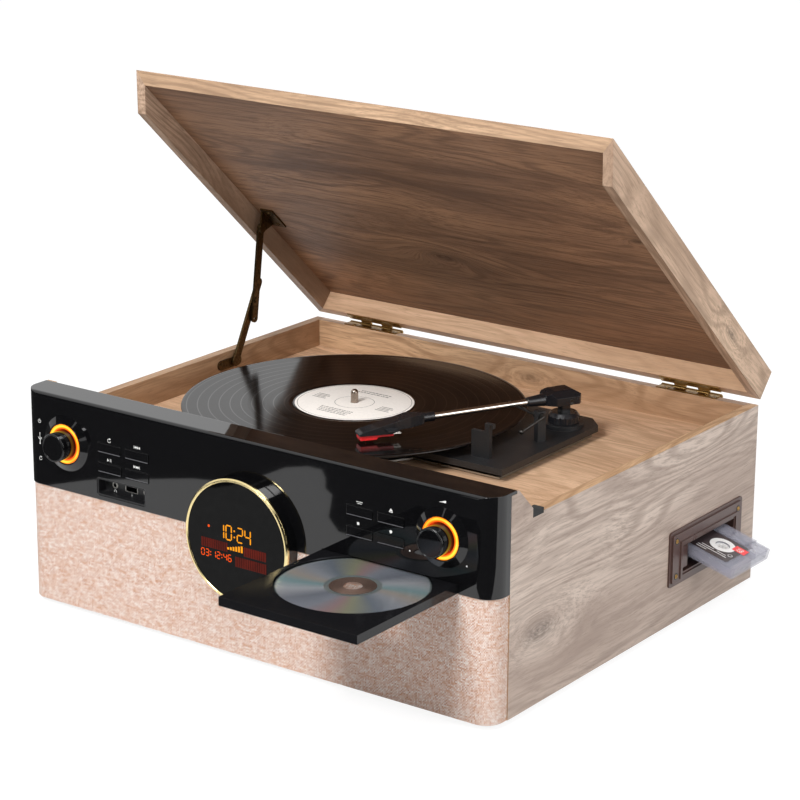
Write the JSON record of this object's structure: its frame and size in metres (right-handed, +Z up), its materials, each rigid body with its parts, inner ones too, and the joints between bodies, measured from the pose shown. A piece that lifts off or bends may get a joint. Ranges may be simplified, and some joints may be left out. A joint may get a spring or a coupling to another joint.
{
  "type": "stereo music centre",
  "caption": "Wooden cabinet music centre: record player under a stayed lid, disc drawer, sloping cassette slot, round display and two lit knobs on a gloss front over a cloth grille.",
  "frame": {"origin": "under the middle of the cabinet, on the surface that the feet stand on", "axes": "+X to the right seen from the front, +Y to the back, +Z up"},
  "size_m": [0.5255, 0.5574, 0.4392],
  "materials": {
    "amber": "lit",
    "antique_brass": "antique",
    "black_plastic": "satin",
    "board_green": "satin",
    "brass": "worn",
    "brown_plastic": "satin",
    "chrome": "polished",
    "clear_grey": "clear",
    "cloth": "matt",
    "dark_glass": "gloss",
    "dark_grey": "satin",
    "disc_silver": "polished",
    "fibreboard": "matt",
    "gloss_black": "gloss",
    "ivory": "satin",
    "oak": "satin",
    "oak_dark": "satin",
    "oak_deck": "satin",
    "pale_gold": "satin",
    "red_plastic": "gloss",
    "rubber": "matt",
    "speaker_black": "matt",
    "steel": "brushed",
    "vinyl": "gloss"
  },
  "bodies": {
    "cabinet": {"side_panel_left": "oak", "side_panel_right": "oak", "back_panel": "oak", "bottom_panel": "fibreboard", "deck_board": "oak_deck", "front_baffle": "fibreboard", "fabric_grille": "cloth", "fascia": "gloss_black", "fascia_sill": "gloss_black", "display_drum": "black_plastic", "display_ring": "pale_gold", "display_lens": "dark_glass", "light_rings": "amber", "socket_panel": "black_plastic", "circuit_boards": "board_green", "speakers": "speaker_black", "rear_sockets": "black_plastic", "feet": "rubber", "lid_bumpers": "rubber", "hinge_leaves_lower": "brass", "stay_bracket_lower": "antique_brass", "chassis_plate": "steel", "suspension_mounts": "rubber", "turntable_plate": "black_plastic", "spindle": "chrome", "motor": "steel", "drive_belt": "rubber", "cd_mechanism": "dark_grey", "cassette_bezel": "brown_plastic", "cassette_mechanism": "dark_grey"},
    "lid": {"lid_top": "oak_dark", "lid_sides": "oak", "lid_back_rail": "oak", "hinge_leaves_upper": "brass", "stay_bracket_upper": "antique_brass"},
    "upper_stay_arm": {"stay_arm_upper": "antique_brass"},
    "lower_stay_arm": {"stay_arm_lower": "antique_brass"},
    "turning_platter": {"platter": "rubber", "record": "vinyl"},
    "pulley": {"motor_pulley": "ivory"},
    "turret": {"arm_turret": "black_plastic"},
    "tonearm": {"arm_block": "black_plastic", "arm_tube": "chrome", "headshell": "black_plastic", "cartridge": "red_plastic"},
    "lift": {"cue_lever": "steel"},
    "drawer": {"cd_tray": "dark_grey"},
    "disc": {"compact_disc": "disc_silver"},
    "left_knob": {"knob_left": "gloss_black"},
    "right_knob": {"knob_right": "gloss_black"},
    "tape": {"cassette": "clear_grey"},
    "eject": {"eject_button": "brown_plastic"},
    "press_button_left_1": {"button_left_1": "gloss_black"},
    "press_button_left_2": {"button_left_2": "gloss_black"},
    "press_button_left_3": {"button_left_3": "gloss_black"},
    "press_button_left_4": {"button_left_4": "gloss_black"},
    "press_button_right_1": {"button_right_1": "gloss_black"},
    "press_button_right_2": {"button_right_2": "gloss_black"},
    "press_button_right_3": {"button_right_3": "gloss_black"},
    "press_button_right_4": {"button_right_4": "gloss_black"}
  },
  "joints": [
    {"name": "lid_hinge", "type": "hinge", "parent": "cabinet", "child": "lid", "pos_m": [0, 0.1961, 0.1638], "axis": [1, 0, 0], "range_deg": [0, 42.2]},
    {"name": "stay_lower_pivot", "type": "hinge", "parent": "cabinet", "child": "lower_stay_arm", "pos_m": [-0.228, 0.053, 0.153], "axis": [1, 0, 0], "range_deg": [-45.86, 0.2]},
    {"name": "stay_upper_pivot", "type": "hinge", "parent": "lid", "child": "upper_stay_arm", "pos_m": [-0.2256, 0.08858, 0.27344], "axis": [1, 0, 0], "range_deg": [-0.2, 53.47]},
    {"name": "platter_spin", "type": "hinge", "parent": "cabinet", "child": "turning_platter", "pos_m": [-0.0507, -0.001, 0.1604], "axis": [0, 0, 1], "continuous": true},
    {"name": "motor_spin", "type": "hinge", "parent": "cabinet", "child": "pulley", "pos_m": [-0.1327, -0.001, 0.1484], "axis": [0, 0, 1], "continuous": true},
    {"name": "arm_swing", "type": "hinge", "parent": "cabinet", "child": "turret", "pos_m": [0.1143, 0.078, 0.155], "axis": [0, 0, 1], "range_deg": [-18.4, 23]},
    {"name": "cue_lever_turn", "type": "hinge", "parent": "cabinet", "child": "lift", "pos_m": [0.09762, 0.04054, 0.17281], "axis": [-0.9135, 0.4067, 0], "range_deg": [0, 45]},
    {"name": "arm_lift", "type": "hinge", "parent": "turret", "child": "tonearm", "pos_m": [0.1143, 0.078, 0.175], "axis": [-0.891, 0.454, 0], "range_deg": [0, 1.8]},
    {"name": "tray_slide", "type": "slide", "parent": "cabinet", "child": "drawer", "axis": [0, 1, 0], "range_m": [0, 0.128]},
    {"name": "disc_spin", "type": "hinge", "parent": "drawer", "child": "disc", "pos_m": [0.1424, -0.2615, 0.1134], "axis": [0, 0, 1], "continuous": true},
    {"name": "knob_left_turn", "type": "hinge", "parent": "cabinet", "child": "left_knob", "pos_m": [-0.192, -0.215, 0.1507], "axis": [0, 1, 0], "continuous": true},
    {"name": "knob_right_turn", "type": "hinge", "parent": "cabinet", "child": "right_knob", "pos_m": [0.192, -0.215, 0.1507], "axis": [0, 1, 0], "continuous": true},
    {"name": "cassette_slide", "type": "slide", "parent": "cabinet", "child": "tape", "axis": [-0.9636, 0, 0.2672], "range_m": [-0.04, 0.046]},
    {"name": "eject_press", "type": "slide", "parent": "cabinet", "child": "eject", "axis": [-1, 0, 0], "range_m": [0, 0.003], "stiffness_N_per_m": 300},
    {"name": "button_left_1_press", "type": "slide", "parent": "cabinet", "child": "press_button_left_1", "axis": [0, 1, 0], "range_m": [0, 0.0012], "stiffness_N_per_m": 300},
    {"name": "button_left_2_press", "type": "slide", "parent": "cabinet", "child": "press_button_left_2", "axis": [0, 1, 0], "range_m": [0, 0.0012], "stiffness_N_per_m": 300},
    {"name": "button_left_3_press", "type": "slide", "parent": "cabinet", "child": "press_button_left_3", "axis": [0, 1, 0], "range_m": [0, 0.0012], "stiffness_N_per_m": 300},
    {"name": "button_left_4_press", "type": "slide", "parent": "cabinet", "child": "press_button_left_4", "axis": [0, 1, 0], "range_m": [0, 0.0012], "stiffness_N_per_m": 300},
    {"name": "button_right_1_press", "type": "slide", "parent": "cabinet", "child": "press_button_right_1", "axis": [0, 1, 0], "range_m": [0, 0.0012], "stiffness_N_per_m": 300},
    {"name": "button_right_2_press", "type": "slide", "parent": "cabinet", "child": "press_button_right_2", "axis": [0, 1, 0], "range_m": [0, 0.0012], "stiffness_N_per_m": 300},
    {"name": "button_right_3_press", "type": "slide", "parent": "cabinet", "child": "press_button_right_3", "axis": [0, 1, 0], "range_m": [0, 0.0012], "stiffness_N_per_m": 300},
    {"name": "button_right_4_press", "type": "slide", "parent": "cabinet", "child": "press_button_right_4", "axis": [0, 1, 0], "range_m": [0, 0.0012], "stiffness_N_per_m": 300}
  ],
  "couplings": [
    {"joint": "stay_lower_pivot", "follows": "lid_hinge", "ratio": -1.0819},
    {"joint": "stay_upper_pivot", "follows": "lid_hinge", "ratio": 1.2623},
    {"joint": "motor_spin", "follows": "platter_spin", "ratio": 12},
    {"joint": "arm_lift", "follows": "cue_lever_turn", "ratio": 0.03802}
  ]
}
